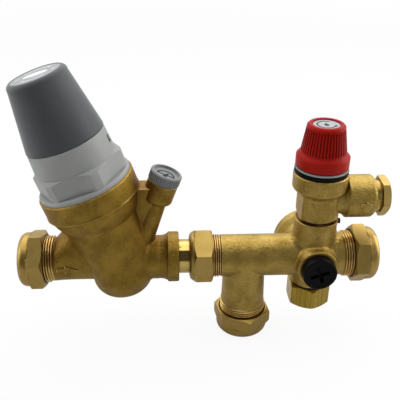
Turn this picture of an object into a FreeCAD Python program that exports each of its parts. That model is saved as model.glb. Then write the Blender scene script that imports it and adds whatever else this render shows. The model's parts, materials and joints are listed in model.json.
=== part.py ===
import FreeCAD, Part
import math
import os
from FreeCAD import Placement, Rotation, Vector

# Inlet control valve. Millimetres, +X along the flow, +Z up, origin at the mouth of the inlet nut.

# Pipe joints: socket radii, thread radii and nut sizes
PIPE_22 = 11.05
PIPE_15 = 7.55
WATERWAY = 9.5
NUT_THREAD = 14.3
NUT_FLATS = 32.0
NUT_LENGTH = 15.1
NUT_COLLAR = 16.4
SEAT_OFFSET = 8.8
SOCKET_END = 19.0
MALE_START = 6.5
MALE_END = 18.3
THREAD_DEPTH = 0.75
UNION_THREAD = 13.22
TAIL_RADIUS = 10.45
PORT_THREAD = 8.33

# Places along the pipe axis
PRV_X = 59.9
GAUGE_X = 68.3
PRV_OUTLET = (88.5, 95.6)
UNION_NUT = (102.0, 116.1)
MANIFOLD_START = 115.0
BRANCH_X = 136.4
RELIEF_X = 178.6
OUTLET_X = 217.4
BRANCH_Z = -54.0

# Pressure reducing valve, heights along its inclined axis
PRV_TILT = 18.5
BARREL_R = (22.4, 20.2)
COLLAR_R = 28.2
BARREL_BOTTOM = -21.0
BOWL_TILT = 5.5
BOWL_BOTTOM = -22.9
RIDGE_S = 33.0
COLLAR_S = 43.3
RIM_S = 55.0
BONNET_THREAD = 24.6
BONNET_FLATS = 47.6
HEX_TOP = 69.0
HEX_CORNER = 26.2
BONNET_TOP = 83.0
KNOB_BOTTOM = 83.4
KNOB_TOP = 120.9
KNOB_R = (22.7, 16.9)
KNOB_LABEL = 14.1

# Gauge port, heights along its own axis
GAUGE_TILT = 20.0
GAUGE_BOSS = (44.2, 54.9)
GAUGE_PLUG = (55.1, 61.3)
GAUGE_SEAL = (53.7, 7.2)
GAUGE_R = 9.3

# Relief valve, heights along the vertical axis
PORT_TOP = 26.4
SPIGOT_R = 11.0
GRUB_Z = 23.4
GRUB_R = 1.7
RELIEF_LOW = 27.2
RELIEF_COLLAR = (46.5, 56.6)
RELIEF_COLLAR_R = 16.0
DISCHARGE_Z = 40.4
DISCHARGE_END = 210.9
GLAND_HEX = 215.0
GLAND_END = 219.0
BAND = (56.6, 59.3)
RING_TOP = 60.5
HOUSING_R = 10.6
CAP_BOTTOM = 60.9
CAP_TOP = 86.0
CAP_CONE = (13.3, 10.8)

# Clearances
RUNNING = 0.05
APART = 0.4

X = Vector(1, 0, 0)
Y = Vector(0, 1, 0)
Z = Vector(0, 0, 1)


def slanted(degrees):
    """Direction in the XZ plane that leans from vertical towards +X."""
    lean = math.radians(degrees)
    return Vector(math.sin(lean), 0, math.cos(lean))


PRV_AXIS = slanted(-PRV_TILT)
GAUGE_AXIS = slanted(GAUGE_TILT)
PRV_ORIGIN = Vector(PRV_X, 0, 0)
GAUGE_ORIGIN = Vector(GAUGE_X, 0, 0)
RELIEF_ORIGIN = Vector(RELIEF_X, 0, 0)

parts = {}


def turned(*path):
    """Solid of revolution about Z. A step is (radius, height), or (mid radius, mid height, radius, height)
    for an arc."""
    points = [Vector(step[-2], 0, step[-1]) for step in path]
    edges = []
    for start, step, end in zip(points[-1:] + points[:-1], path, points):
        if len(step) == 4:
            edges.append(Part.Arc(start, Vector(step[0], 0, step[1]), end).toShape())
        else:
            edges.append(Part.makeLine(start, end))
    return Part.Face(Part.Wire(edges)).revolve(Vector(), Z, 360)


def ring(inner, outer, low, high):
    return turned((inner, low), (outer, low), (outer, high), (inner, high))


def rod(radius, low, high):
    return Part.makeCylinder(radius, high - low, Vector(0, 0, low))


def hexagon(flats, low, high, turn=0.0):
    """Hexagonal prism about Z with its corners chamfered at both ends."""
    corner = flats / 2 / math.cos(math.radians(30))
    angles = [math.radians(turn + 60 * i) for i in range(7)]
    outline = Part.makePolygon([Vector(corner * math.cos(a), corner * math.sin(a), low) for a in angles])
    prism = Part.Face(outline).extrude(Vector(0, 0, high - low))
    face_r = flats / 2 - 0.35
    rise = (corner - face_r) * math.tan(math.radians(30))
    clip = turned((0, low), (face_r, low), (corner, low + rise), (corner, high - rise), (face_r, high),
                  (0, high))
    return prism.common(clip)


def placed(shape, origin, axis=Z):
    moved = shape.copy()
    moved.Placement = Placement(origin, Rotation(Z, axis)).multiply(moved.Placement)
    return moved


def around(shape, count, centre=Vector(), axis=Z):
    """Copies of a shape spread evenly round an axis."""
    copies = []
    for i in range(count):
        copy = shape.copy()
        copy.rotate(centre, axis, 360.0 * i / count)
        copies.append(copy)
    return copies


def block(size_x, size_y, low, high):
    """Upright box centred on the Z axis."""
    return Part.makeBox(size_x, size_y, high - low, Vector(-size_x / 2, -size_y / 2, low))


def pipe(radius, start, end):
    return Part.makeCylinder(radius, (end - start).Length, start, end - start)


def blend(base, added, radius):
    """Fuses a piece on and rounds the line where it meets the base."""
    joined = base.fuse(added).removeSplitter()
    old_edges = Part.makeCompound(base.Edges + added.Edges)
    seams = []
    for edge in joined.Edges:
        middle = edge.valueAt((edge.FirstParameter + edge.LastParameter) / 2)
        if old_edges.distToShape(Part.Vertex(middle))[0] > 0.05:
            seams.append(edge)
    return joined.makeFillet(radius, seams)


def coil(mean_r, wire_r, low, high, turns):
    """Compression spring about Z with a square wire."""
    height = high - low - 2 * wire_r
    path = Part.makeHelix(height / turns, height, mean_r)
    path.translate(Vector(0, 0, low + wire_r))
    angles = [math.radians(90 * i) for i in range(5)]
    middle = low + wire_r
    corners = [Vector(mean_r + wire_r * math.sin(a), 0, middle + wire_r * math.cos(a)) for a in angles]
    return Part.Wire(path).makePipeShell([Part.makePolygon(corners)], True, True)


def on_prv(shape):
    return placed(shape, PRV_ORIGIN, PRV_AXIS)


def on_gauge(shape):
    return placed(shape, GAUGE_ORIGIN, GAUGE_AXIS)


def on_relief(shape):
    return placed(shape, RELIEF_ORIGIN)


# Compression joints, local height 0 at the outer end of the nut

def compression_nut(turn):
    dome = turned((0, 0), (12.4, 0), (15.2, 1.2, NUT_COLLAR, 4.4), (NUT_COLLAR, 6.4), (0, 6.4))
    hex_part = hexagon(NUT_FLATS, NUT_COLLAR - PIPE_22, NUT_LENGTH, turn)
    seat_end = NUT_THREAD - SEAT_OFFSET
    hole = turned(
        (0, -1), (PIPE_22, -1), (PIPE_22, PIPE_22 - SEAT_OFFSET), (NUT_THREAD, seat_end),
        (NUT_THREAD, NUT_LENGTH - 0.8), (NUT_THREAD + 0.8, NUT_LENGTH), (NUT_THREAD + 0.8, NUT_LENGTH + 1),
        (0, NUT_LENGTH + 1))
    return dome.fuse(hex_part).cut(hole)


def compression_olive():
    return turned((PIPE_22, 2.7), (11.5, 2.7), (13.0, 4.2), (13.0, 6.9), (11.5, 8.4), (PIPE_22, 8.4))


def male_end():
    """Threaded end, at full size inside the nut and down to the root of the thread where it shows."""
    root = NUT_THREAD - THREAD_DEPTH
    return turned((0, MALE_START), (NUT_THREAD - 0.6, MALE_START), (NUT_THREAD, MALE_START + 0.6),
                  (NUT_THREAD, NUT_LENGTH - 1.0), (root, NUT_LENGTH - 0.6), (root, MALE_END), (0, MALE_END))


def pipe_socket(depth):
    """Cutting tool: olive seat, pipe socket with its stop, and the waterway behind it."""
    mouth = MALE_START - 0.5
    reach = 19.9
    return turned((0, mouth), (reach - mouth, mouth), (PIPE_22, reach - PIPE_22), (PIPE_22, SOCKET_END),
                  (WATERWAY, SOCKET_END), (WATERWAY, depth), (0, depth))


# Pressure reducing valve body

NECK_R = 13.3
NECK_X = 21.5


def neck_section(x, high, half_width):
    """Upright elliptical section of the inlet neck, which rises to a hood before it meets the barrel."""
    low = -NECK_R
    centre = Vector(x, 0, (low + high) / 2)
    top = Vector(x, 0, high)
    side = centre + Vector(0, half_width, 0)
    half_height = (high - low) / 2
    curve = Part.Ellipse(top, side, centre) if half_height > half_width else Part.Ellipse(side, top, centre)
    return Part.Wire(curve.toShape())


def prv_body():
    top_r, low_r = BARREL_R
    barrel = on_prv(turned(
        (0, BARREL_BOTTOM), (8.0, BARREL_BOTTOM), (16.2, -16.4, low_r, -5.0),
        (top_r, RIDGE_S - 2), (26.0, 38.0, COLLAR_R - 0.8, COLLAR_S - 0.6), (COLLAR_R + 0.3, COLLAR_S),
        (COLLAR_R, COLLAR_S + 1), (COLLAR_R, RIM_S - 0.7), (COLLAR_R - 0.7, RIM_S), (0, RIM_S)))
    bowl = placed(turned(
        (0, BOWL_BOTTOM), (8.0, BOWL_BOTTOM), (15.7, -18.4, 18.2, -9.0), (18.8, 0), (0, 0)),
        PRV_ORIGIN, slanted(-BOWL_TILT))
    collar_start, collar_end = PRV_OUTLET[0] - PRV_X, PRV_OUTLET[1] - PRV_X
    outlet_neck = placed(turned(
        (0, 0), (13.4, 0), (13.4, 23.0), (13.6, collar_start - 2, 14.5, collar_start),
        (15.4, collar_start + 0.6), (15.4, collar_end - 0.6), (14.8, collar_end), (0, collar_end)),
        PRV_ORIGIN, X)
    stem = on_gauge(turned(
        (0, 10.0), (7.6, 10.0), (6.3, 42.0), (8.3, 42.8, 9.0, GAUGE_BOSS[0] + 1), (9.0, GAUGE_BOSS[1]),
        (0, GAUGE_BOSS[1])))
    body = blend(blend(barrel, outlet_neck, 3.0), stem, 1.5)
    inlet_neck = Part.makeLoft([
        neck_section(NECK_X, NECK_R, NECK_R),
        neck_section(26.5, 19.0, 13.5),
        neck_section(44.0, 28.0, 15.0)], True)
    inlet_tube = pipe(NECK_R, Vector(MALE_END - 1, 0, 0), Vector(NECK_X, 0, 0))
    pad_shape = turned((20.0, 30.0), (23.2, 30.0), (24.2, RIDGE_S), (27.0, 38.2, COLLAR_R, COLLAR_S),
                       (20.0, COLLAR_S))
    pad = on_prv(pad_shape.common(Part.makeCylinder(22.5, 40.0, Vector(0, -40.0, RIDGE_S + 20.5), Y)))
    half_web = 6.0
    web_points = [(62.0, 49.3), (80.0, 49.6), (80.0, 40.0), (74.0, 16.0), (66.0, 16.0), (62.0, 49.3)]
    web = Part.Face(Part.makePolygon([Vector(x, -half_web, z) for x, z in web_points]))
    web = web.extrude(Vector(0, 2 * half_web, 0))
    inlet_end = placed(male_end(), Vector(), X)
    body = body.fuse([inlet_end, inlet_tube, inlet_neck, bowl, web, pad]).removeSplitter()
    tools = [
        placed(pipe_socket(32.0), Vector(), X),
        pipe(7.0, Vector(28.0, 0, 0.5), Vector(64.0, 0, -13.0)),
        on_prv(rod(WATERWAY, -17.0, 13.0)),
        on_prv(rod(16.5, 12.0, 43.0)),
        on_prv(rod(20.0, 42.0, 46.0)),
        on_prv(rod(BONNET_THREAD, 45.0, RIM_S + 1)),
        pipe(5.0, Vector(80.6, 0, 2.0), Vector(65.6, 0, 19.2)),
        pipe(WATERWAY, Vector(77.0, 0, 0), Vector(PRV_OUTLET[1] + 1, 0, 0)),
        pipe(TAIL_RADIUS, Vector(86.0, 0, 0), Vector(PRV_OUTLET[1] + 1, 0, 0)),
        on_gauge(rod(5.5, 47.0, GAUGE_BOSS[1] + 1)),
        on_gauge(rod(GAUGE_SEAL[1], GAUGE_SEAL[0], GAUGE_BOSS[1] + 1)),
        on_gauge(rod(1.6, 18.0, 48.0)),
    ]
    return body.cut(tools)


parts["prv_body"] = prv_body()
parts["inlet_nut"] = placed(compression_nut(13.5), Vector(), X)
parts["inlet_olive"] = placed(compression_olive(), Vector(), X)


# Spring housing, knob and adjusting screw

def prv_bonnet():
    skirt = rod(BONNET_THREAD, 47.0, RIM_S)
    flange = turned((0, RIM_S), (27.2, RIM_S), (27.2, RIM_S + 1.6), (26.4, RIM_S + 2.6), (0, RIM_S + 2.6))
    hex_part = hexagon(BONNET_FLATS, RIM_S, HEX_TOP).common(rod(HEX_CORNER, RIM_S, HEX_TOP))
    cone = turned((0, HEX_TOP - 1), (23.6, HEX_TOP - 1), (22.5, BONNET_TOP), (0, BONNET_TOP))
    turret = rod(10.0, BONNET_TOP - 1, 107.0)
    outside = skirt.fuse([flange, hex_part, cone, turret]).removeSplitter()
    chamber = rod(20.0, 46.0, 79.0)
    shaft_bore = rod(6.0, 78.0, 108.0)
    window = Part.makeBox(3.0, 3.0, 4.4, Vector(22.2, -1.5, 73.6))
    window.rotate(Vector(), Z, -4)
    guides = around(Part.makeBox(4.0, 3.0, 25.0, Vector(17.0, -1.5, 54.5)), 2)
    guide_ribs = guides[0].fuse(guides[1]).common(rod(20.5, 54.0, 80.0))
    return on_prv(outside.cut([chamber, shaft_bore, window]).fuse(guide_ribs).removeSplitter())


def prv_knob():
    low_r, high_r = KNOB_R
    outside = turned((0, KNOB_BOTTOM), (low_r - 0.2, KNOB_BOTTOM), (low_r, KNOB_BOTTOM + 0.3),
                     (high_r, 117.4), (16.1, 120.0, 14.5, KNOB_TOP), (0, KNOB_TOP))
    hollow = turned((0, KNOB_BOTTOM - 1), (20.8, KNOB_BOTTOM - 1), (15.2, 117.0), (0, 117.0))
    hub = rod(9.0, 108.0, 118.0)
    recess = rod(KNOB_LABEL, KNOB_TOP - 1.0, KNOB_TOP + 1)
    socket = block(8.0, 8.0, 107.0, 114.0)
    return on_prv(outside.cut([hollow, recess]).fuse(hub).cut(socket).removeSplitter())


def adjusting_screw():
    thread = rod(5.0, 58.6, 77.0)
    collar = rod(9.0, 76.7, 79.0 - APART)
    shaft = rod(6.0 - RUNNING, 78.0, 107.5)
    head = block(8.0, 8.0, 107.0, 114.0)
    return on_prv(thread.fuse([collar, shaft, head]).removeSplitter())


def spring_plate():
    plate = rod(18.0, 69.0, 72.0).fuse(rod(8.0, 64.0, 69.5))
    notches = around(Part.makeBox(4.0, 3.8, 8.0, Vector(16.6, -1.9, 66.0)), 2)
    return on_prv(plate.cut([rod(5.0 + RUNNING, 60.0, 75.0)] + notches).removeSplitter())


parts["prv_bonnet"] = prv_bonnet()
parts["prv_knob"] = prv_knob()
parts["knob_label"] = on_prv(rod(KNOB_LABEL, KNOB_TOP - 1.0, KNOB_TOP - 0.2))
parts["prv_adjusting_screw"] = adjusting_screw()
parts["prv_spring_plate"] = spring_plate()
parts["prv_spring"] = on_prv(coil(12.6, 1.6, 49.4, 69.0 - 0.3, 4))


# Diaphragm, stem and cartridge

def prv_diaphragm():
    return on_prv(turned(
        (3.0 + RUNNING, 45.45), (18.4, 45.45), (20.5, 45.0), (24.5, 45.0), (24.5, 47.0), (20.2, 47.0),
        (18.6, 46.85), (3.0 + RUNNING, 46.85)))


def prv_stem():
    return on_prv(turned((0, -7.5), (3.0, -7.5), (3.0, 44.4), (10.0, 44.4), (10.0, 45.4), (3.0, 45.4),
                         (3.0, 56.0), (0, 56.0)))


def prv_cartridge():
    nose = rod(WATERWAY, 0.0, 12.0)
    cage = rod(16.4, 12.0, 42.0)
    flange = rod(19.9, 42.0, 44.0)
    bore = turned((0, -1), (6.4, -1), (6.4, 16.0), (13.4, 18.0), (13.4, 38.0), (0, 38.0))
    groove = ring(8.0, 12.0, 4.0, 6.6)
    windows = [Part.makeBox(40.0, 12.0, 19.0, Vector(-20.0, -6.0, 18.5))]
    windows += [Part.makeBox(12.0, 40.0, 19.0, Vector(-6.0, -20.0, 18.5))]
    guide = rod(3.0 + RUNNING, 37.0, 45.0)
    ports = around(Part.makeCylinder(1.6, 10.0, Vector(8.5, 0, 36.0)), 6)
    whole = nose.fuse([cage, flange]).cut([bore, groove, guide] + windows + ports)
    return on_prv(whole.removeSplitter())


def prv_strainer():
    basket = turned((8.6, -16.6), (9.3, -16.6), (9.3, 0.0), (8.6, 0.0))
    slots = around(Part.makeBox(4.0, 1.6, 11.0, Vector(7.0, -0.8, -13.8)), 12)
    return on_prv(basket.cut(slots))


parts["prv_diaphragm"] = prv_diaphragm()
parts["prv_diaphragm_plate"] = on_prv(turned(
    (3.0, 46.9), (16.0, 46.9), (16.0, 49.4), (9.5, 49.4), (9.5, 51.5), (3.0, 51.5)))
parts["prv_stem_nut"] = on_prv(hexagon(10.0, 51.5, 55.0).cut(rod(3.0, 50.0, 56.0)))
parts["prv_stem"] = prv_stem()
parts["prv_cartridge"] = prv_cartridge()
parts["prv_cartridge_seal"] = on_prv(ring(8.0, WATERWAY, 4.0, 6.6))
parts["prv_strainer"] = prv_strainer()
parts["prv_obturator"] = on_prv(turned(
    (3.0, -7.0), (7.8, -7.0), (7.8, -3.2), (5.6, -3.2), (5.6, -4.6), (3.0, -4.6)))
parts["prv_obturator_seal"] = on_prv(turned(
    (5.6, -3.2), (7.8, -3.2), (7.8, -2.6), (3.0, -2.6), (3.0, -4.6), (5.6, -4.6)))


# Gauge port plug

def gauge_plug():
    low, high = GAUGE_PLUG
    head = turned((0, low), (GAUGE_R - 0.5, low), (GAUGE_R, low + 0.5), (GAUGE_R, high - 0.6),
                  (GAUGE_R - 0.6, high), (7.6, high), (7.2, high - 1.2), (0, high - 1.2))
    groove = Part.makeBox(1.0, 0.6, 4.4, Vector(GAUGE_R - 0.3, -0.3, low + 0.7))
    shank = rod(5.5, 47.0, low)
    return on_gauge(head.cut(around(groove, 44)).fuse(shank).removeSplitter())


parts["gauge_plug"] = gauge_plug()
parts["gauge_plug_seal"] = on_gauge(ring(5.5, GAUGE_SEAL[1], GAUGE_SEAL[0], GAUGE_PLUG[0]))


# Union between the valve and the manifold, heights along X

def union_nut():
    low, high = UNION_NUT
    flats = 31.0
    crown = turned((0, low), (11.4, low), (14.5, low + 1.2, 15.4, low + 3.4), (15.4, low + 4.4),
                   (0, low + 4.4))
    outside = crown.fuse(hexagon(flats, low + 2.6, high)).removeSplitter()
    hole = turned((0, low - 1), (10.75, low - 1), (10.75, 110.5), (UNION_THREAD, 110.5),
                  (UNION_THREAD, high - 0.7), (UNION_THREAD + 0.7, high), (UNION_THREAD + 0.7, high + 1),
                  (0, high + 1))
    return placed(outside.cut(hole), Vector(), X)


parts["outlet_tail"] = placed(turned(
    (8.0, 86.0), (TAIL_RADIUS, 86.0), (TAIL_RADIUS, 110.5), (12.9, 110.5), (12.9, 113.0), (8.0, 113.0)),
    Vector(), X)
parts["union_nut"] = union_nut()
parts["union_washer"] = placed(ring(8.5, 12.9, 113.0, MANIFOLD_START), Vector(), X)


# Manifold

TUBE_START = 121.4
FRONT_FACE = -18.5
BOTTOM_FACE = -18.4
REAR_FACE = 22.0
CHECK_BORE = 10.0
CHECK = (150.0, 168.0)


def manifold_body():
    tube = placed(turned(
        (0, MANIFOLD_START), (UNION_THREAD - 0.6, MANIFOLD_START), (UNION_THREAD, MANIFOLD_START + 0.6),
        (UNION_THREAD, UNION_NUT[1] - 1.0), (UNION_THREAD - THREAD_DEPTH, UNION_NUT[1] - 0.6),
        (UNION_THREAD - THREAD_DEPTH, TUBE_START), (13.0, TUBE_START), (13.0, RELIEF_X + 13),
        (13.4, RELIEF_X + 17), (13.4, OUTLET_X - MALE_END), (0, OUTLET_X - MALE_END)), Vector(), X)
    branch = placed(turned((0, 0), (12.7, 0), (13.8, BRANCH_Z + MALE_END), (0, BRANCH_Z + MALE_END)),
                    Vector(BRANCH_X, 0, 0))
    top_port = on_relief(turned((0, 0), (12.5, 0), (13.1, PORT_TOP - 0.5), (12.7, PORT_TOP), (0, PORT_TOP)))
    bottom_port = on_relief(turned((0, 0), (12.3, 0), (12.2, BOTTOM_FACE + 0.5), (11.7, BOTTOM_FACE),
                                   (0, BOTTOM_FACE)))
    front_boss = placed(turned((0, 0), (12.3, 0), (12.3, -FRONT_FACE - 0.5), (11.8, -FRONT_FACE),
                               (0, -FRONT_FACE)), RELIEF_ORIGIN, -Y)
    rear_boss = placed(turned((0, 0), (12.6, 0), (12.6, 2.0), (16.6, 6.6, 18.2, 11.8), (20.6, 15.4),
                              (20.6, REAR_FACE - 1), (19.6, REAR_FACE), (0, REAR_FACE)), RELIEF_ORIGIN, Y)
    body = blend(tube, branch, 1.6)
    body = blend(body, top_port, 5.0)
    body = blend(body, bottom_port, 2.5)
    body = blend(body, front_boss, 2.0)
    outlet_end = placed(male_end(), Vector(OUTLET_X, 0, 0), -X)
    branch_end = placed(male_end(), Vector(BRANCH_X, 0, BRANCH_Z))
    body = body.fuse([rear_boss, outlet_end, branch_end]).removeSplitter()
    tools = [
        pipe(CHECK_BORE, Vector(MANIFOLD_START - 1, 0, 0), Vector(CHECK[1], 0, 0)),
        pipe(8.5, Vector(CHECK[0], 0, 0), Vector(RELIEF_X, 0, 0)),
        placed(pipe_socket(OUTLET_X - RELIEF_X), Vector(OUTLET_X, 0, 0), -X),
        placed(pipe_socket(-BRANCH_Z), Vector(BRANCH_X, 0, BRANCH_Z)),
        on_relief(rod(WATERWAY, 0, 15.0)),
        on_relief(rod(SPIGOT_R, 14.3, PORT_TOP + 1)),
        on_relief(rod(PORT_THREAD, BOTTOM_FACE - 1, 0)),
        placed(rod(PORT_THREAD, 0, -FRONT_FACE + 1), RELIEF_ORIGIN, -Y),
        pipe(GRUB_R, Vector(RELIEF_X + 9.0, 0, GRUB_Z), Vector(RELIEF_X + 16.0, 0, GRUB_Z)),
    ]
    return body.cut(tools)


parts["manifold_body"] = manifold_body()
parts["branch_nut"] = placed(compression_nut(41.3), Vector(BRANCH_X, 0, BRANCH_Z))
parts["branch_olive"] = placed(compression_olive(), Vector(BRANCH_X, 0, BRANCH_Z))
parts["outlet_nut"] = placed(compression_nut(17.6), Vector(OUTLET_X, 0, 0), -X)
parts["outlet_olive"] = placed(compression_olive(), Vector(OUTLET_X, 0, 0), -X)


# Check valve in the manifold, heights along X

def check_valve_cage():
    low, high = CHECK
    tube = turned((6.0, low), (CHECK_BORE, low), (CHECK_BORE, low + 7), (8.9, low + 7), (8.9, low + 9.4),
                  (CHECK_BORE, low + 9.4), (CHECK_BORE, high), (7.9, high), (7.9, low + 3), (6.0, low + 3))
    spokes = [block(17.0, 2.4, high - 3, high), block(2.4, 17.0, high - 3, high), rod(3.6, high - 3, high)]
    spider = spokes[0].fuse(spokes[1:]).common(rod(8.4, low, high))
    return placed(tube.fuse(spider).cut(rod(2.0 + RUNNING, low, high + 1)).removeSplitter(), Vector(), X)


def check_valve_poppet():
    seat = CHECK[0] + 3.0
    return placed(turned((0, seat + 1.2), (7.2, seat + 1.2), (7.2, seat + 2.8), (2.0, seat + 4.0),
                         (2.0, CHECK[1] + 1.0), (0, CHECK[1] + 1.0)), Vector(), X)


parts["check_valve_cage"] = check_valve_cage()
parts["check_valve_poppet"] = check_valve_poppet()
parts["check_valve_seal"] = placed(ring(3.0, 7.2, CHECK[0] + 3.3, CHECK[0] + 4.2), Vector(), X)
parts["check_valve_spring"] = placed(coil(4.6, 0.5, CHECK[0] + 6.8, CHECK[1] - 3.0, 3), Vector(), X)
parts["check_valve_o_ring"] = placed(ring(8.9, CHECK_BORE, CHECK[0] + 7, CHECK[0] + 9.4), Vector(), X)


# Plugs of the bottom and front ports

def bottom_plug():
    head_top = BOTTOM_FACE - 1.1
    head = hexagon(24.2, -33.8, head_top, 30)
    shank = rod(PORT_THREAD, head_top, -9.6)
    return on_relief(head.fuse(shank).removeSplitter())


def front_plug():
    low = -FRONT_FACE + 0.8
    high = -FRONT_FACE + 5.8
    head = turned((0, low), (9.7, low), (10.1, low + 0.4), (10.1, high - 0.6), (9.5, high), (8.2, high),
                  (7.8, high - 0.5), (0, high - 0.5))
    slots = [block(11.6, 2.3, high - 3.2, high + 1), block(2.3, 11.6, high - 3.2, high + 1)]
    for slot in slots:
        slot.rotate(Vector(), Z, 20)
    shank = rod(PORT_THREAD, 10.5, low)
    return placed(head.cut(slots).fuse(shank).removeSplitter(), RELIEF_ORIGIN, -Y)


parts["bottom_plug"] = bottom_plug()
parts["bottom_plug_seal"] = on_relief(ring(PORT_THREAD, 11.7, BOTTOM_FACE - 1.1, BOTTOM_FACE))
parts["front_plug"] = front_plug()
parts["front_plug_seal"] = placed(ring(PORT_THREAD, 9.8, -FRONT_FACE, -FRONT_FACE + 0.8), RELIEF_ORIGIN, -Y)


# Expansion relief valve

SQUARE = 22.0
SQUARE_CORNER = 13.6
O_RING_Z = (17.0, 19.4)


def erv_body():
    spigot = turned((0, 14.3), (SPIGOT_R - 0.6, 14.3), (SPIGOT_R, 14.9), (SPIGOT_R, O_RING_Z[0]),
                    (9.4, O_RING_Z[0]), (9.4, O_RING_Z[1]), (SPIGOT_R, O_RING_Z[1]),
                    (SPIGOT_R, GRUB_Z - 2.2), (9.8, GRUB_Z - 2.2), (9.8, GRUB_Z + 2.2),
                    (SPIGOT_R, GRUB_Z + 2.2), (SPIGOT_R, PORT_TOP), (10.4, PORT_TOP + 0.4),
                    (10.4, RELIEF_LOW + 1), (0, RELIEF_LOW + 1))
    low_clip = turned((0, RELIEF_LOW), (10.6, RELIEF_LOW), (SQUARE_CORNER, RELIEF_LOW + 2.2),
                      (SQUARE_CORNER, RELIEF_COLLAR[0] + 1), (0, RELIEF_COLLAR[0] + 1))
    low_body = block(SQUARE, SQUARE, RELIEF_LOW, RELIEF_COLLAR[0] + 1).common(low_clip)
    collar = turned((0, 43.0), (11.0, 43.0), (12.6, 43.4), (RELIEF_COLLAR_R - 0.4, RELIEF_COLLAR[0]),
                    (RELIEF_COLLAR_R, RELIEF_COLLAR[0] + 0.8), (RELIEF_COLLAR_R, RELIEF_COLLAR[1] - 0.7),
                    (RELIEF_COLLAR_R - 0.6, RELIEF_COLLAR[1]), (0, RELIEF_COLLAR[1]))
    reach = DISCHARGE_END - RELIEF_X
    discharge_origin = RELIEF_ORIGIN + Vector(0, 0, DISCHARGE_Z)
    discharge = placed(turned(
        (0, 0), (10.4, 0), (10.4, 11.5), (11.2, 14.2, 12.8, 15.8), (12.8, reach - 3.0),
        (12.1, reach - 0.9, 10.4, reach), (0, reach)), discharge_origin, X)
    upright = on_relief(spigot.fuse([low_body, collar]).removeSplitter())
    outside = upright.fuse(discharge).removeSplitter()
    chamber = turned(
        (0, 13.0), (5.6, 13.0), (5.6, 32.0), (6.6, 32.0), (7.4, 30.4), (8.8, 30.4), (8.8, 47.0),
        (12.6, 48.6), (13.2, 48.6), (13.2, RELIEF_COLLAR[1] + 1), (0, RELIEF_COLLAR[1] + 1))
    outlet = placed(turned(
        (0, 0), (6.0, 0), (6.0, 14.6), (PIPE_15, 14.6), (PIPE_15, 18.4), (9.2, 20.05), (9.2, 33.0),
        (0, 33.0)), discharge_origin, X)
    return outside.cut([on_relief(chamber), outlet])


def gland_nut():
    thread_start = 25.6
    shoulder = DISCHARGE_END - RELIEF_X
    hex_start = GLAND_HEX - RELIEF_X
    end = GLAND_END - RELIEF_X
    neck = turned((0, thread_start), (9.2, thread_start), (9.2, shoulder), (10.2, shoulder),
                  (9.6, hex_start + 0.4), (0, hex_start + 0.4))
    head = hexagon(22.0, hex_start, end, 35)
    hole = turned((0, thread_start - 1), (9.2, thread_start - 1), (9.2, thread_start),
                  (PIPE_15, thread_start + 1.65), (PIPE_15, end + 1), (0, end + 1))
    return placed(neck.fuse(head).cut(hole), RELIEF_ORIGIN + Vector(0, 0, DISCHARGE_Z), X)


def erv_bonnet():
    outside = turned((0, 50.4), (13.2, 50.4), (13.2, BAND[0]), (15.6, BAND[0]), (15.6, BAND[1]),
                     (HOUSING_R, BAND[1]), (HOUSING_R, 73.4), (0, 73.4))
    bore = turned((0, 49.0), (9.2, 49.0), (9.2, 70.0), (4.2, 71.2), (4.2, 74.0), (0, 74.0))
    return on_relief(outside.cut(bore))


def erv_cap():
    outside = turned(
        (0, CAP_BOTTOM), (14.9, CAP_BOTTOM), (15.4, CAP_BOTTOM + 0.6), (15.4, 67.0), (14.9, 67.6),
        (CAP_CONE[0], 69.2), (CAP_CONE[1], 85.0), (9.8, CAP_TOP), (8.0, CAP_TOP), (7.6, CAP_TOP - 1.4),
        (0, CAP_TOP - 1.4))
    hollow = turned((0, CAP_BOTTOM - 1), (12.4, CAP_BOTTOM - 1), (11.4, 70.0), (11.0, 76.4), (0, 76.4))
    screw_pocket = rod(4.4, 81.6, CAP_TOP)
    bore = rod(2.0 + RUNNING, 76.0, 82.0)
    groove = Part.makeBox(3.0, 0.8, 13.6, Vector(0, -0.4, 70.2))
    cone_angle = math.degrees(math.atan2(CAP_CONE[0] - CAP_CONE[1], 85.0 - 69.2))
    groove.rotate(Vector(0, 0, 70.2), Y, -cone_angle)
    groove.translate(Vector(CAP_CONE[0] - 0.75, 0, 0))
    return on_relief(outside.cut([hollow, screw_pocket, bore] + around(groove, 44)))


parts["erv_body"] = erv_body()
parts["erv_o_ring"] = on_relief(ring(9.4, SPIGOT_R, *O_RING_Z))
parts["erv_grub_screw"] = pipe(
    GRUB_R, Vector(RELIEF_X + 9.8, 0, GRUB_Z), Vector(RELIEF_X + 14.9, 0, GRUB_Z))
parts["erv_gland_nut"] = gland_nut()
parts["erv_gland_olive"] = placed(
    turned((PIPE_15, 19.0), (8.15, 19.0), (9.0, 19.85), (9.0, 25.8), (8.15, 26.65), (PIPE_15, 26.65)),
    RELIEF_ORIGIN + Vector(0, 0, DISCHARGE_Z), X)
parts["erv_bonnet"] = erv_bonnet()
parts["erv_ring"] = on_relief(ring(HOUSING_R, 15.4, BAND[1], RING_TOP))
parts["erv_cap"] = erv_cap()
parts["erv_cap_label"] = on_relief(rod(7.6, CAP_TOP - 1.4, CAP_TOP - 0.7))
parts["erv_cap_screw"] = on_relief(rod(3.4, 82.0, 83.8).fuse(rod(1.2, 77.0, 82.5)).removeSplitter())
parts["erv_stem"] = on_relief(turned(
    (0, 36.4), (2.0, 36.4), (2.0, 82.0), (1.2, 82.0), (1.2, 77.0), (0, 77.0)))
parts["erv_spring"] = on_relief(coil(6.4, 1.0, 53.2, 69.0, 5))
parts["erv_spring_plate"] = on_relief(turned(
    (2.0, 50.45), (8.4, 50.45), (8.4, 52.9), (4.8, 52.9), (4.8, 54.6), (2.0, 54.6)))
parts["erv_adjusting_ring"] = on_relief(ring(4.6, 9.2, 69.0, 70.0))
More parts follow.
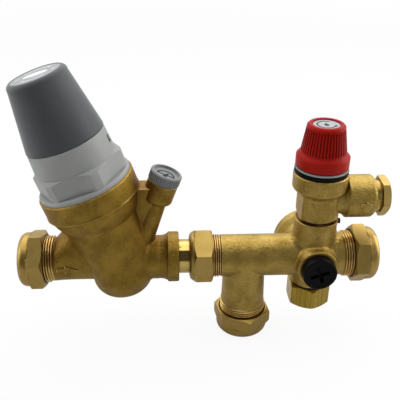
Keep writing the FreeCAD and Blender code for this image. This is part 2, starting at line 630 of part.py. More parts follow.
parts["erv_diaphragm"] = on_relief(turned(
    (2.0 + RUNNING, 49.0), (9.0, 49.0), (10.6, 48.7), (13.1, 48.7), (13.1, 50.4), (10.2, 50.4), (9.0, 50.4),
    (2.0 + RUNNING, 50.4)))
parts["erv_disc"] = on_relief(turned((0, 33.6), (7.2, 33.6), (7.2, 36.4), (2.0, 36.4), (0, 36.4)))
parts["erv_seal"] = on_relief(ring(1.5, 7.2, 32.4, 33.6))

os.makedirs("parts", exist_ok=True)
for name, shape in parts.items():
    shape.exportStep("parts/" + name + ".step")
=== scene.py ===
import json
import math

import bpy
from mathutils import Matrix, Vector
from mathutils.bvhtree import BVHTree


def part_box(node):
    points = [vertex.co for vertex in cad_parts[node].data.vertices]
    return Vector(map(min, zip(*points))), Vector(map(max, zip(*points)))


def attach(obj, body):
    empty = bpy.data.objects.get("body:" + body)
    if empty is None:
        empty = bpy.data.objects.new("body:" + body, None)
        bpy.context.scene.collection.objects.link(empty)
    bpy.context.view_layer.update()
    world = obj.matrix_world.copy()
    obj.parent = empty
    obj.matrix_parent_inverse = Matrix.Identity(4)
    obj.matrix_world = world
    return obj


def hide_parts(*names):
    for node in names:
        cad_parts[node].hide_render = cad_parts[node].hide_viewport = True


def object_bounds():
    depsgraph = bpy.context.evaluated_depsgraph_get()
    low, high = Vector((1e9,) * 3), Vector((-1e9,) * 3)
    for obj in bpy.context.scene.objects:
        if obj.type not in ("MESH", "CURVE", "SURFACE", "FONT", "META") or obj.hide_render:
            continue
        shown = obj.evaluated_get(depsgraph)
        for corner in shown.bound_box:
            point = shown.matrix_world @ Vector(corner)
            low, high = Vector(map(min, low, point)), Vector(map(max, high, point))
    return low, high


# Inlet control valve: materials, threads, gland nut, marks and studio, in metres in the model's frame

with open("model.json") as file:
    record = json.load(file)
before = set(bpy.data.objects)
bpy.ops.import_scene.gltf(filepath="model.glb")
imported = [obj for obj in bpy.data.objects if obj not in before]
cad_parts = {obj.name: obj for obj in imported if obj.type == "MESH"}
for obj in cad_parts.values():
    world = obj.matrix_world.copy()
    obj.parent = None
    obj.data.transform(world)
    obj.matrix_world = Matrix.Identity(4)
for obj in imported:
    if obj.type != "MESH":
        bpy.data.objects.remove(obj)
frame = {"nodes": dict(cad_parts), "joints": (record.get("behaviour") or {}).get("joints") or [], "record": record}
cad_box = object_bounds()
nodes = frame["nodes"]
joints = {joint["name"]: joint for joint in frame["joints"]}
mounts = {mount["name"]: mount for mount in frame["record"]["mounts"]}

MM = 0.001
X = Vector((1, 0, 0))
Y = Vector((0, 1, 0))
Z = Vector((0, 0, 1))
MIDDLE = (cad_box[0] + cad_box[1]) / 2
LOWEST = cad_box[0].z

KNOB_POS = Vector(joints["prv_knob_turn"]["pos_m"])
KNOB_AXIS = Vector(joints["prv_knob_turn"]["axis"]).normalized()
RELIEF_POS = Vector(joints["erv_cap_turn"]["pos_m"])
INLET_POS = Vector(mounts["inlet"]["pos_m"])
OUTLET_POS = Vector(mounts["outlet"]["pos_m"])
BRANCH_POS = Vector(mounts["branch"]["pos_m"])
DISCHARGE_POS = Vector(mounts["discharge"]["pos_m"])
DISCHARGE_BORE = mounts["discharge"]["dims"]["r_mm"]

GAUGE_POS = Vector((68.3, 0, 0)) * MM
GAUGE_TILT = math.radians(20.0)
GAUGE_AXIS = Vector((math.sin(GAUGE_TILT), 0, math.cos(GAUGE_TILT)))

NEARLY_PARALLEL = 0.9


def basis(origin, axis):
    """Matrix whose Z runs along the axis and whose X lies nearest to the frame's +X, or to +Y for an axis
    along X."""
    side = X if abs(axis.dot(X)) < NEARLY_PARALLEL else Y
    x = (side - axis * axis.dot(side)).normalized()
    y = axis.cross(x)
    rotation = Matrix((x, y, axis)).transposed().to_4x4()
    return Matrix.Translation(origin) @ rotation


KNOB_BASE = basis(KNOB_POS, KNOB_AXIS)
GAUGE_BASE = basis(GAUGE_POS, GAUGE_AXIS)
RELIEF_BASE = basis(RELIEF_POS, Z)


def add_object(name, data):
    made = bpy.data.objects.new(name, data)
    bpy.context.scene.collection.objects.link(made)
    return made


# Shading

OCCLUSION_SAMPLES = 8
BEVEL_SAMPLES = 6
WHITE = (1, 1, 1, 1)
COOL_GREEN = 1.03
COOL_BLUE = 1.04


def neutral(level):
    return (level, level, level, 1)


def cool_grey(level):
    return (level, level * COOL_GREEN, level * COOL_BLUE, 1)


class Shader:
    """A node tree, with short calls that add a node and wire it."""

    def __init__(self, tree):
        self.tree = tree

    def add(self, kind, inputs, **settings):
        node = self.tree.nodes.new(kind)
        for name, value in settings.items():
            setattr(node, name, value)
        for name, value in inputs.items():
            self.put(node.inputs[name], value)
        return node

    def put(self, socket, value):
        if isinstance(value, bpy.types.NodeSocket):
            self.tree.links.new(value, socket)
        else:
            socket.default_value = value

    def math(self, operation, first, second=0.0):
        return self.add("ShaderNodeMath", {0: first, 1: second}, operation=operation).outputs[0]

    def product(self, first, second):
        return self.math("MULTIPLY", first, second)

    def vector(self, operation, first, second=(0, 0, 0)):
        return self.add("ShaderNodeVectorMath", {0: first, 1: second}, operation=operation).outputs

    def mix(self, factor, first, second):
        """First colour at a factor of 0 and second at 1: the node's inputs 6 and 7, and its output 2."""
        inputs = {0: factor, 6: first, 7: second}
        return self.add("ShaderNodeMix", inputs, data_type="RGBA").outputs[2]

    def ramp(self, value, low, high, start=0.0, end=1.0):
        """Smooth step from start, where the value is low, to end, where it is high."""
        inputs = {"Value": value, "From Min": low, "From Max": high, "To Min": start, "To Max": end}
        return self.add("ShaderNodeMapRange", inputs, interpolation_type="SMOOTHSTEP").outputs["Result"]

    def place(self):
        return self.add("ShaderNodeTexCoord", {}).outputs["Object"]

    def noise(self, place, scale, detail):
        inputs = {"Vector": place, "Scale": scale, "Detail": detail}
        return self.add("ShaderNodeTexNoise", inputs).outputs["Fac"]

    def openness(self, reach):
        """1 on open surfaces, towards 0 where other surfaces stand within the reach."""
        inputs = {"Distance": reach}
        return self.add("ShaderNodeAmbientOcclusion", inputs, samples=OCCLUSION_SAMPLES).outputs["AO"]

    def clean(self, reach):
        """0 in crevices and 1 on open surfaces."""
        return self.ramp(self.openness(reach), low=0.25, high=0.85)

    def edge(self, reach):
        """1 along outer edges and 0 on faces and in crevices."""
        settings = {"samples": OCCLUSION_SAMPLES, "inside": True, "only_local": True}
        filled = self.add("ShaderNodeAmbientOcclusion", {"Distance": reach}, **settings).outputs["AO"]
        return self.ramp(filled, low=0.90, high=0.55)

    def rounded_normal(self, radius):
        return self.add("ShaderNodeBevel", {"Radius": radius}, samples=BEVEL_SAMPLES).outputs["Normal"]

    def bump(self, height, distance, normal):
        inputs = {"Height": height, "Distance": distance, "Strength": 1.0, "Normal": normal}
        return self.add("ShaderNodeBump", inputs).outputs["Normal"]

    def turned_place(self, origin, axis):
        """Coordinates (along the axis, from the axis) of a turned piece."""
        offset = self.vector("SUBTRACT", self.place(), tuple(origin))["Vector"]
        along = self.vector("DOT_PRODUCT", offset, tuple(axis))["Value"]
        length = self.vector("LENGTH", offset)["Value"]
        square = self.math("SUBTRACT", self.product(length, length), self.product(along, along))
        radius = self.math("SQRT", self.math("MAXIMUM", square, 0.0))
        return self.add("ShaderNodeCombineXYZ", {"X": along, "Y": radius}).outputs["Vector"]

    def rays(self):
        """Two values: 1 for the camera's rays, and 1 for rays that a surface mirrors or lets through."""
        path = self.add("ShaderNodeLightPath", {}).outputs
        mirrored = self.math("MAXIMUM", path["Is Glossy Ray"], path["Is Transmission Ray"])
        return path["Is Camera Ray"], mirrored


def new_material(name, metallic=0.0):
    material = bpy.data.materials.new(name)
    material.use_nodes = True
    surface = material.node_tree.nodes["Principled BSDF"]
    surface.inputs["Metallic"].default_value = metallic
    return material, Shader(material.node_tree), surface


# Brass

FORGED_DARK = (0.34, 0.227, 0.046, 1)
FORGED_LIGHT = (0.47, 0.322, 0.076, 1)
AGED_DARK = (0.25, 0.150, 0.018, 1)
AGED_LIGHT = (0.37, 0.232, 0.033, 1)
# Painted shade for the hollows of the aged forging
AGED_HOLLOW_SHADE = (0.22, 0.113, 0.016, 1)
BRASS_BRIGHT = (0.72, 0.52, 0.19, 1)
# Edge colour: rubbed edges with a painted highlight
BRASS_EDGE_WEAR_AND_HIGHLIGHT = (0.92, 0.66, 0.24, 1)
# Stain in pits, and painted shade in crevices
BRASS_STAIN_AND_SHADE = (0.14, 0.068, 0.010, 1)
TURNED_DARK = (0.38, 0.255, 0.068, 1)
TURNED_LIGHT = (0.47, 0.320, 0.095, 1)
GLAND_DARK = (0.42, 0.285, 0.073, 1)
GLAND_LIGHT = (0.50, 0.347, 0.100, 1)
# Painted shade in the thread's crevices
THREAD_CREVICE_SHADE = (0.58, 0.320, 0.050, 1)
POLISHED_DARK = (0.58, 0.400, 0.115, 1)
POLISHED_LIGHT = (0.68, 0.480, 0.160, 1)
DRAWN_DARK = (0.32, 0.212, 0.026, 1)
DRAWN_LIGHT = (0.48, 0.330, 0.058, 1)

# Noise scales of the brass, in marks per metre
MOTTLE_SCALE = 110.0
PIT_SCALE = 420.0
GRAIN_SCALE = 800.0
SPECKLE_SCALE = 850.0
TOOL_LINE_SCALE = 2200.0
DRAWN_LINE_SCALES = (1500.0, 1500.0, 40.0)

# Values of a noise between which the roughness changes
GRAIN_SPAN = (0.25, 0.75)
FINE_SPAN = (0.2, 0.8)

# Forging: sizes of its hollows, crevices, edges and grain, and how much its marks show
HOLLOW_REACH = 25.0 * MM
FORGED_CREVICE = 4.0 * MM
FORGED_SEAM = 1.5 * MM
FORGED_EDGE = 0.6 * MM
FORGED_ROUNDING = 0.5 * MM
FORGED_RELIEF = 0.26 * MM
GLINT_SHARE = 0.28
PIT_SHARE = 0.45
PIT_DEPTH = 0.4
FORGED_EDGE_SHARE = 0.85
FORGED_EDGE_POLISH = 0.15
FORGED_COAT = 0.15
FORGED_COAT_ROUGHNESS = 0.35

# Turned and drawn brass
TURNED_ROUNDING = 0.35 * MM
TURNED_CREVICE = 2.5 * MM
TURNED_EDGE = 0.5 * MM
TURNED_RELIEF = 0.0015 * MM
TURNED_EDGE_SHARE = 0.6
DRAWN_ROUNDING = 0.3 * MM
DRAWN_CREVICE = 2.0 * MM
DRAWN_RELIEF = 0.02 * MM


def forged_brass(name, dark, light, glint, painted_hollow_tone, roughness):
    """Sand-blasted forging: mottled, grainy and pitted, with painted glints, a painted tone in the
    hollows in place of their light and shade, painted shade in crevices and rubbed edges with a painted
    highlight."""
    material, shader, surface = new_material(name, metallic=1.0)
    place = shader.place()
    normal = shader.rounded_normal(FORGED_ROUNDING)
    mottle = shader.ramp(shader.noise(place, MOTTLE_SCALE, detail=6.0), low=0.35, high=0.66)
    speckle = shader.ramp(shader.noise(place, SPECKLE_SCALE, detail=3.0), low=0.54, high=0.66)
    pits = shader.ramp(shader.noise(place, PIT_SCALE, detail=2.0), low=0.62, high=0.74)
    grain = shader.noise(place, GRAIN_SCALE, detail=4.0)
    exposed = shader.ramp(shader.openness(HOLLOW_REACH), low=0.55, high=0.97)
    clean = shader.clean(FORGED_CREVICE)
    seamless = shader.ramp(shader.openness(FORGED_SEAM), low=0.55, high=0.98)
    edge_wear_and_highlight = shader.product(shader.edge(FORGED_EDGE), clean)

    colour = shader.mix(mottle, dark, light)
    colour = shader.mix(shader.product(speckle, GLINT_SHARE), colour, glint)
    colour = shader.mix(shader.product(pits, PIT_SHARE), colour, BRASS_STAIN_AND_SHADE)
    # Painted light and shade: hollows take a painted tone in place of the light that reaches them
    colour = shader.mix(exposed, painted_hollow_tone, colour)
    # Painted shade in crevices and seams
    colour = shader.mix(shader.product(clean, seamless), BRASS_STAIN_AND_SHADE, colour)
    # Rubbed edges with a painted highlight
    colour = shader.mix(shader.product(edge_wear_and_highlight, FORGED_EDGE_SHARE), colour, BRASS_EDGE_WEAR_AND_HIGHLIGHT)
    shader.put(surface.inputs["Base Color"], colour)

    rough = shader.ramp(grain, *GRAIN_SPAN, *roughness)
    polish = shader.product(edge_wear_and_highlight, FORGED_EDGE_POLISH)
    shader.put(surface.inputs["Roughness"], shader.math("SUBTRACT", rough, polish))
    surface.inputs["Coat Weight"].default_value = FORGED_COAT
    surface.inputs["Coat Roughness"].default_value = FORGED_COAT_ROUGHNESS
    relief = shader.math("SUBTRACT", grain, shader.product(pits, PIT_DEPTH))
    shader.put(surface.inputs["Normal"], shader.bump(relief, FORGED_RELIEF, normal))
    return material


def turned_brass(name, origin, axis, dark=TURNED_DARK, light=TURNED_LIGHT, roughness=(0.36, 0.48),
                 crevice_shade=BRASS_STAIN_AND_SHADE):
    """Machined brass with tool lines round the axis, painted shade in crevices, and rubbed edges with a
    painted highlight.
    """
    material, shader, surface = new_material(name, metallic=1.0)
    normal = shader.rounded_normal(TURNED_ROUNDING)
    tool = shader.noise(shader.turned_place(origin, axis), TOOL_LINE_SCALE, detail=2.0)
    mottle = shader.noise(shader.place(), MOTTLE_SCALE, detail=2.0)
    tone = shader.product(shader.math("ADD", tool, mottle), 0.5)
    clean = shader.clean(TURNED_CREVICE)
    edge_wear_and_highlight = shader.product(shader.edge(TURNED_EDGE), clean)

    colour = shader.mix(shader.ramp(tone, low=0.35, high=0.65), dark, light)
    # Painted shade in crevices
    colour = shader.mix(clean, crevice_shade, colour)
    # Rubbed edges with a painted highlight
    colour = shader.mix(shader.product(edge_wear_and_highlight, TURNED_EDGE_SHARE), colour, BRASS_BRIGHT)
    shader.put(surface.inputs["Base Color"], colour)
    shader.put(surface.inputs["Roughness"], shader.ramp(tool, *GRAIN_SPAN, *roughness))
    shader.put(surface.inputs["Normal"], shader.bump(tool, TURNED_RELIEF, normal))
    return material


def drawn_brass(name, roughness=(0.20, 0.34)):
    """Hexagon bar, with fine lines along Z from the drawing die, and painted shade in crevices."""
    material, shader, surface = new_material(name, metallic=1.0)
    normal = shader.rounded_normal(DRAWN_ROUNDING)
    stretched = shader.vector("MULTIPLY", shader.place(), DRAWN_LINE_SCALES)["Vector"]
    lines = shader.noise(stretched, 1.0, detail=3.0)
    colour = shader.mix(shader.ramp(lines, low=0.3, high=0.7), DRAWN_DARK, DRAWN_LIGHT)
    # Painted shade in crevices
    colour = shader.mix(shader.clean(DRAWN_CREVICE), BRASS_STAIN_AND_SHADE, colour)
    shader.put(surface.inputs["Base Color"], colour)
    shader.put(surface.inputs["Roughness"], shader.ramp(lines, *GRAIN_SPAN, *roughness))
    shader.put(surface.inputs["Normal"], shader.bump(lines, DRAWN_RELIEF, normal))
    return material


# Plastics, labels, steel and rubber, each with a darker and a lighter tone

LIGHT_GREY = ((0.315, 0.323, 0.313, 1), (0.350, 0.359, 0.348, 1))
DARK_GREY = ((0.050, 0.055, 0.058, 1), (0.058, 0.064, 0.067, 1))
RED = ((0.35, 0.008, 0.003, 1), (0.40, 0.010, 0.004, 1))
STEEL = ((0.38, 0.38, 0.39, 1), (0.60, 0.60, 0.61, 1))

FLOW_SCALE = 60.0
MOULDED_ROUNDING = 0.35 * MM
MOULDED_CREVICE = 2.0 * MM
CREVICE_SHADE = 0.55
SHEEN_ROUGHNESS = 0.4
SMOOTHER = 0.05
ROUGHER = 0.07

# Size and depth of the grain
MOULDED_GRAIN = (0.35 * MM, 0.012 * MM)
PRINTED_GRAIN = (0.2 * MM, 0.004 * MM)
RUBBER_GRAIN = (0.25 * MM, 0.02 * MM)

STEEL_GRAIN_SCALE = 900.0
STEEL_RELIEF = 0.01 * MM
STEEL_ROUNDING = 0.2 * MM


def greys(dark, light):
    return cool_grey(dark), cool_grey(light)


def moulded(name, tones, roughness, specular=0.4, sheen=0.0, texture=MOULDED_GRAIN):
    """Moulded plastic with a fine spark-eroded grain and faint flow marks."""
    material, shader, surface = new_material(name)
    grain_size, grain_depth = texture
    place = shader.place()
    normal = shader.rounded_normal(MOULDED_ROUNDING)
    flow = shader.noise(place, FLOW_SCALE, detail=3.0)
    grain = shader.noise(place, 1.0 / grain_size, detail=2.0)
    colour = shader.mix(shader.ramp(flow, low=0.3, high=0.7), *tones)
    shade = shader.ramp(shader.openness(MOULDED_CREVICE), low=0.2, high=0.8, start=CREVICE_SHADE)
    shaded = shader.add("ShaderNodeVectorMath", {0: colour, "Scale": shade}, operation="SCALE")
    shader.put(surface.inputs["Base Color"], shaded.outputs["Vector"])
    surface.inputs["Specular IOR Level"].default_value = specular
    surface.inputs["Sheen Weight"].default_value = sheen
    surface.inputs["Sheen Roughness"].default_value = SHEEN_ROUGHNESS
    rough = shader.ramp(grain, *FINE_SPAN, start=roughness - SMOOTHER, end=roughness + ROUGHER)
    shader.put(surface.inputs["Roughness"], rough)
    shader.put(surface.inputs["Normal"], shader.bump(grain, grain_depth, normal))
    return material


def steel(name, roughness=(0.24, 0.38)):
    """Bright steel with a faint cloudy grain."""
    material, shader, surface = new_material(name, metallic=1.0)
    grain = shader.noise(shader.place(), STEEL_GRAIN_SCALE, detail=4.0)
    normal = shader.rounded_normal(STEEL_ROUNDING)
    shader.put(surface.inputs["Base Color"], shader.mix(grain, *STEEL))
    shader.put(surface.inputs["Roughness"], shader.ramp(grain, *FINE_SPAN, *roughness))
    shader.put(surface.inputs["Normal"], shader.bump(grain, STEEL_RELIEF, normal))
    return material


MATERIALS = {
    # On the manifold the hollows are lightened: painted light in their shade
    "forged_brass": forged_brass("forged_brass", FORGED_DARK, FORGED_LIGHT, glint=BRASS_BRIGHT,
                                 painted_hollow_tone=FORGED_LIGHT, roughness=(0.40, 0.56)),
    "machined_brass": turned_brass("machined_brass", INLET_POS, X),
    "light_grey_plastic": moulded("light_grey_plastic", LIGHT_GREY, roughness=0.46),
    "dark_grey_plastic": moulded("dark_grey_plastic", DARK_GREY, roughness=0.60, specular=0.5, sheen=0.45),
    "label": moulded("label", greys(0.42, 0.46), roughness=0.35, texture=PRINTED_GRAIN),
    "grey_plastic": moulded("grey_plastic", greys(0.215, 0.235), roughness=0.45),
    "red_plastic": moulded("red_plastic", RED, roughness=0.36, specular=0.08),
    "black_plastic": moulded("black_plastic", greys(0.004, 0.006), roughness=0.42, specular=0.06),
    "inner_plastic": moulded("inner_plastic", greys(0.5, 0.55), roughness=0.45),
    "steel": steel("steel"),
    "seal_rubber": moulded("seal_rubber", greys(0.005, 0.008), roughness=0.55, specular=0.2,
                           texture=RUBBER_GRAIN),
}
PRINT_WHITE = moulded("print_white", greys(0.78, 0.82), roughness=0.40, texture=PRINTED_GRAIN)
PRINT_DARK = moulded("print_dark", greys(0.015, 0.020), roughness=0.45, specular=0.3,
                     texture=PRINTED_GRAIN)
THREAD_BRASS = turned_brass("thread_brass", INLET_POS, X, POLISHED_LIGHT, BRASS_BRIGHT,
                            roughness=(0.26, 0.40), crevice_shade=THREAD_CREVICE_SHADE)
OWN_MATERIALS = {
    # On the inlet body the hollows are darkened: painted shade
    "prv_body": forged_brass("aged_forged_brass", AGED_DARK, AGED_LIGHT, glint=FORGED_LIGHT,
                             painted_hollow_tone=AGED_HOLLOW_SHADE, roughness=(0.48, 0.64)),
    "branch_nut": turned_brass("branch_nut_brass", BRANCH_POS, Z),
    "erv_gland_nut": turned_brass("gland_brass", DISCHARGE_POS, X, GLAND_DARK, GLAND_LIGHT,
                                  roughness=(0.26, 0.38)),
    "outlet_tail": turned_brass("polished_brass", INLET_POS, X, POLISHED_DARK, POLISHED_LIGHT,
                                roughness=(0.06, 0.14)),
    "bottom_plug": drawn_brass("drawn_brass"),
    "erv_grub_screw": moulded("blackened_steel", greys(0.010, 0.016), roughness=0.35),
    "knob_label": moulded("knob_print", greys(0.33, 0.36), roughness=0.40, texture=PRINTED_GRAIN),
}

for part in frame["record"]["subparts"]:
    node = nodes[part["node"]]
    material = OWN_MATERIALS.get(part["node"], MATERIALS[part["material_slot"]])
    node.data.materials.clear()
    node.data.materials.append(material)


# New pieces

def piece(name, mesh, body, material):
    mesh.materials.append(material)
    made = add_object(name, mesh)
    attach(made, body)
    return made


def mesh_of(name, points, faces, smooth=False):
    mesh = bpy.data.meshes.new(name)
    mesh.from_pydata([tuple(point) for point in points], [], faces)
    mesh.validate()
    for polygon in mesh.polygons:
        polygon.use_smooth = smooth
    return mesh


# Threads: ridges with four corners, whose foot and crest are half widths in shares of the pitch

THREAD_STEPS = 48
THREAD_TAPER_STEPS = 10
THREAD_CORNERS = 4
THREAD_FOOT = 0.46
THREAD_CREST = 0.16
THREAD_SINK = 0.2 * MM
THREAD_HIDDEN = 0.8 * MM
RUNOUT_SLOPE = 3.0

NUT_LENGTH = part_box("inlet_nut")[1].x - INLET_POS.x
UNION_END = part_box("union_nut")[1].x
INLET_RUNOUT = 18.3 * MM
PIPE_THREAD = {
    "root": 13.4 * MM,
    "crest": 14.3 * MM,
    "low": NUT_LENGTH - THREAD_HIDDEN,
    "high": 21.6 * MM,
    "pitch": 1.5 * MM,
}
UNION_THREAD = {
    "root": 12.47 * MM,
    "crest": 13.22 * MM,
    "low": UNION_END - THREAD_HIDDEN,
    "high": 121.4 * MM,
    "pitch": 1.3 * MM,
}


def thread(name, base, root, crest, low, high, pitch, runout=None):
    """Helical thread ridge about the Z of a base matrix, tapering out at both ends. Past the runout only
    the upper side is cut."""
    turns = (high - low) / pitch - 1.0
    count = int(turns * THREAD_STEPS)
    foot = root - THREAD_SINK
    points = []
    for i in range(count + 1):
        angle = 2 * math.pi * i / THREAD_STEPS
        height = low + pitch * (0.5 + i / THREAD_STEPS)
        fade = min(1.0, i / THREAD_TAPER_STEPS, (count - i) / THREAD_TAPER_STEPS)
        outward = Vector((math.cos(angle), math.sin(angle), 0))
        if runout and height > runout:
            upward = (base.to_3x3() @ outward).z
            fade *= min(1.0, max(0.0, 0.5 + RUNOUT_SLOPE * upward))
        tip = root + (crest - root) * fade
        corners = [(foot, -THREAD_FOOT), (tip, -THREAD_CREST), (tip, THREAD_CREST), (foot, THREAD_FOOT)]
        for radius, offset in corners:
            points.append(base @ (outward * radius + Z * (height + offset * pitch)))
    faces = []
    for i in range(count):
        for k in range(THREAD_CORNERS):
            a = THREAD_CORNERS * i + k
            b = THREAD_CORNERS * i + (k + 1) % THREAD_CORNERS
            faces.append((a, a + THREAD_CORNERS, b + THREAD_CORNERS, b))
    first_end = range(THREAD_CORNERS)
    last_end = range(len(points) - 1, len(points) - 1 - THREAD_CORNERS, -1)
    faces += [tuple(first_end), tuple(last_end)]
    piece(name, mesh_of(name, points, faces), "valve_body", THREAD_BRASS)


thread("inlet_thread", basis(INLET_POS, X), runout=INLET_RUNOUT, **PIPE_THREAD)
thread("outlet_thread", basis(OUTLET_POS, -X), **PIPE_THREAD)
thread("branch_thread", basis(BRANCH_POS, Z), **PIPE_THREAD)
thread("union_thread", basis(INLET_POS, X), **UNION_THREAD)


# Gland nut, in millimetres and degrees, with heights along the discharge axis from its outer face

HEX_SIDES = 6
GLAND_FLATS = 21.2
GLAND_TURN = 5.0
GLAND_SHANK_R = 9.2
GLAND_SHANK_END = -14.8
GLAND_COLLAR_END = -8.1
GLAND_COLLAR_R = (10.2, 9.65)
GLAND_HEX_END = -4.6
GLAND_CHAMFER = 1.6
GLAND_CHAMFER_STEPS = 6
GLAND_FACE_R = 10.1
GLAND_SIDE_STEPS = 16
GLAND_SHARP = 20


def gland_profile():
    """Heights and outer radii of the nut's rings, from the shank's inner end round to the bore, whose
    mouth opens by 45 degrees for the olive."""
    corner = GLAND_FLATS / 2 / math.cos(math.pi / HEX_SIDES)
    rings = [
        (GLAND_SHANK_END, GLAND_SHANK_R),
        (GLAND_COLLAR_END, GLAND_SHANK_R),
        (GLAND_COLLAR_END, GLAND_COLLAR_R[0]),
        (GLAND_HEX_END, GLAND_COLLAR_R[1]),
        (GLAND_HEX_END, corner),
    ]
    for i in range(GLAND_CHAMFER_STEPS + 1):
        turn = math.radians(90 * i / GLAND_CHAMFER_STEPS)
        height = GLAND_CHAMFER * (math.sin(turn) - 1)
        rings.append((height, GLAND_FACE_R + (corner - GLAND_FACE_R) * math.cos(turn)))
    mouth = GLAND_SHANK_R - DISCHARGE_BORE
    return rings + [(0.0, DISCHARGE_BORE), (GLAND_SHANK_END + mouth, DISCHARGE_BORE)]


def gland_nut():
    """Hexagon with a square inner shoulder and a rounded outer end, on a round collar and a shank."""
    base = basis(DISCHARGE_POS, X)
    rings = gland_profile()
    count = HEX_SIDES * GLAND_SIDE_STEPS
    side = 360 / HEX_SIDES
    points = []
    for height, limit in rings:
        for i in range(count):
            from_middle = math.radians(side * (i % GLAND_SIDE_STEPS) / GLAND_SIDE_STEPS - side / 2)
            radius = min(limit, GLAND_FLATS / 2 / math.cos(from_middle))
            angle = math.radians(GLAND_TURN + 360 * i / count)
            local = Vector((radius * math.cos(angle), radius * math.sin(angle), height))
            points.append(base @ (local * MM))
    faces = []
    for ring in range(len(rings)):
        a = ring * count
        b = (ring + 1) % len(rings) * count
        for i in range(count):
            j = (i + 1) % count
            faces.append((a + i, a + j, b + j, b + i))
    mesh = mesh_of("gland_nut", points, faces, smooth=True)
    mesh.set_sharp_from_angle(angle=math.radians(GLAND_SHARP))
    made = piece("gland_nut", mesh, "valve_body", OWN_MATERIALS["erv_gland_nut"])
    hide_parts("erv_gland_nut")


gland_nut()


# Marks, outlined in millimetres across an axis, with angles in degrees and heights along the axis

KNOB_LABEL_TOP = 120.7
CAP_LABEL_TOP = 85.3
GAUGE_FLOOR = 60.1
GAUGE_SIGN_TURN = math.radians(-13.0)
PRINT = 0.06
HEAD_HALF = 0.6


def arc(radius, start, end, centre=(0, 0), steps=32):
    angles = [math.radians(start + (end - start) * i / steps) for i in range(steps + 1)]
    return [(centre[0] + radius * math.cos(a), centre[1] + radius * math.sin(a)) for a in angles]


def band(radius, width, start, end, centre=(0, 0)):
    outer = arc(radius + width / 2, start, end, centre)
    inner = arc(radius - width / 2, end, start, centre)
    return outer + inner


def bar(start, end, width):
    first = Vector(start)
    last = Vector(end)
    along = (last - first).normalized()
    side = Vector((-along.y, along.x)) * width / 2
    return [tuple(corner) for corner in (first - side, last - side, last + side, first + side)]


def arrow_head(radius, angle, turn, size):
    """Triangle on an arc, pointing anticlockwise for a turn of 1 and clockwise for -1."""
    a = math.radians(angle)
    out = Vector((math.cos(a), math.sin(a)))
    along = Vector((-out.y, out.x)) * turn
    middle = out * radius
    half = out * size * HEAD_HALF
    return [tuple(corner) for corner in (middle - half, middle + half, middle + along * size)]


def raised(name, base, outlines, low, high, body, material):
    """Flat marks that stand along the base's Z from low to high."""
    points = []
    faces = []
    for outline in outlines:
        first = len(points)
        count = len(outline)
        for height in (low, high):
            points += [base @ Vector((x * MM, y * MM, height * MM)) for x, y in outline]
        faces.append(tuple(range(first + count - 1, first - 1, -1)))
        faces.append(tuple(range(first + count, first + 2 * count)))
        for i in range(count):
            j = (i + 1) % count
            faces.append((first + i, first + j, first + count + j, first + count + i))
    piece(name, mesh_of(name, points, faces), body, material)


def knob_marks():
    """White oval in the middle, a double turning arrow with minus and plus beside it, and a plain arc."""
    oval_halves = (7.2, 3.9)
    ring = 9.6
    ring_width = 1.0
    ring_start = 48
    ring_end = 132
    head = 2.0
    sign = 10.1
    sign_half = 1.3
    stroke = 0.9
    outlines = [
        [(oval_halves[0] * x, oval_halves[1] * y) for x, y in arc(1.0, start=0, end=350, steps=35)],
        band(ring, ring_width, ring_start, ring_end),
        arrow_head(ring, ring_start, turn=-1, size=head),
        arrow_head(ring, ring_end, turn=1, size=head),
        bar((-sign - sign_half, 0), (-sign + sign_half, 0), stroke),
        bar((sign - sign_half, 0), (sign + sign_half, 0), stroke),
        bar((sign, -sign_half), (sign, -stroke / 2), stroke),
        bar((sign, stroke / 2), (sign, sign_half), stroke),
        band(ring, ring_width, ring_start + 180, ring_end + 180),
    ]
    raised("knob_marks", KNOB_BASE, outlines, KNOB_LABEL_TOP - PRINT, KNOB_LABEL_TOP + PRINT,
           "prv_knob", PRINT_WHITE)


def cap_marks():
    """Dark turning arrow round a drop-shaped spot."""
    ring = 5.2
    ring_width = 0.9
    ring_start = 60
    ring_end = 330
    head = 2.0
    drop_radius = 1.5
    drop_centre = (0, -0.6)
    drop_tip = (0, 2.4)
    outlines = [
        band(ring, ring_width, ring_start, ring_end),
        arrow_head(ring, ring_end, turn=1, size=head),
        arc(drop_radius, start=150, end=390, centre=drop_centre, steps=20) + [drop_tip],
    ]
    raised("cap_marks", RELIEF_BASE, outlines, CAP_LABEL_TOP - PRINT, CAP_LABEL_TOP + PRINT,
           "erv_cap", PRINT_DARK)


def gauge_marks():
    """Dial sign: half circle, base line, hub and needle."""
    dial_radius = 4.9
    dial_width = 1.1
    base_level = -2.2
    base_half = 5.4
    base_width = 1.0
    hub = (0, -3.5)
    hub_radius = 1.3
    needle_tip = (1.1, 0.6)
    needle_width = 1.3
    outlines = [
        band(dial_radius, dial_width, start=0, end=180, centre=(0, base_level)),
        bar((-base_half, base_level), (base_half, base_level), base_width),
        arc(hub_radius, start=0, end=342, centre=hub, steps=19),
        bar(hub, needle_tip, needle_width),
    ]
    turned = GAUGE_BASE @ Matrix.Rotation(GAUGE_SIGN_TURN, 4, "Z")
    raised("gauge_marks", turned, outlines, GAUGE_FLOOR - PRINT, GAUGE_FLOOR + 2 * PRINT,
           "valve_body", PRINT_DARK)


knob_marks()
cap_marks()
gauge_marks()


# Flow arrows on the forgings, in millimetres

ARROW_COLUMNS = 8
ARROW_SHAFT_STEPS = 8
ARROW_HEAD_STEPS = 14
ARROW_TIP_HALF = 0.05
ARROW_TOP_SHARE = 0.7
ARROW_SINK = -0.3
RAY_START_Y = -60.0


